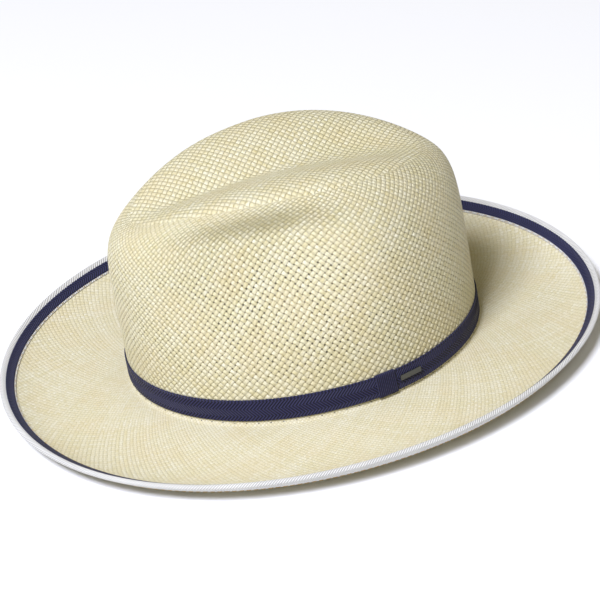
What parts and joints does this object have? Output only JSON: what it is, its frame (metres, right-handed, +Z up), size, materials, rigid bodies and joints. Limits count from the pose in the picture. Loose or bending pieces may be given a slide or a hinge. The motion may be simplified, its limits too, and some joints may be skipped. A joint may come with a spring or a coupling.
{
  "type": "fedora hat",
  "caption": "Woven straw fedora with a pinched crown, a narrow navy ribbon band with keeper and blank metal plate, and a curled brim bound in white and navy tape.",
  "frame": {"origin": "centre of the hat's outline, on the surface the brim rests on", "axes": "+Z up, front of the hat toward -Y, wearer's left toward +X"},
  "size_m": [0.2924, 0.348, 0.1258],
  "materials": {
    "straw": "plain woven straw, matt to satin",
    "band_ribbon": "navy herringbone ribbon",
    "keeper_ribbon": "navy cross-ribbed ribbon",
    "plate_metal": "dark gunmetal, brushed, blank",
    "dark_thread": "navy thread",
    "white_tape": "white ribbed tape",
    "navy_stripe": "navy cross-ribbed stripe",
    "amber_thread": "straw-coloured thread",
    "wire_steel": "drawn steel wire",
    "sleeve_metal": "crimped sleeve",
    "leather": "brown leather",
    "light_thread": "cream thread",
    "reed_plastic": "clear-white cord",
    "cotton_tape": "brown cotton tape",
    "seam_leather": "brown leather strip",
    "label_fabric": "blank woven label",
    "bow_ribbon": "narrow brown satin ribbon",
    "knot_ribbon": "narrow brown satin ribbon"
  },
  "bodies": {
    "root": {"straw_body": "straw", "hat_band": "band_ribbon", "band_keeper": "keeper_ribbon", "name_plate": "plate_metal", "band_stitches": "dark_thread", "binding_tape": "white_tape", "binding_stripe": "navy_stripe", "binding_stitches": "amber_thread", "brim_wire": "wire_steel", "wire_sleeve": "sleeve_metal", "sweatband": "leather", "sweatband_stitches": "light_thread", "reed": "reed_plastic", "reed_tape": "cotton_tape", "seam_tape": "seam_leather", "size_label": "label_fabric", "back_bow": "bow_ribbon", "bow_knot": "knot_ribbon"}
  },
  "joints": []
}
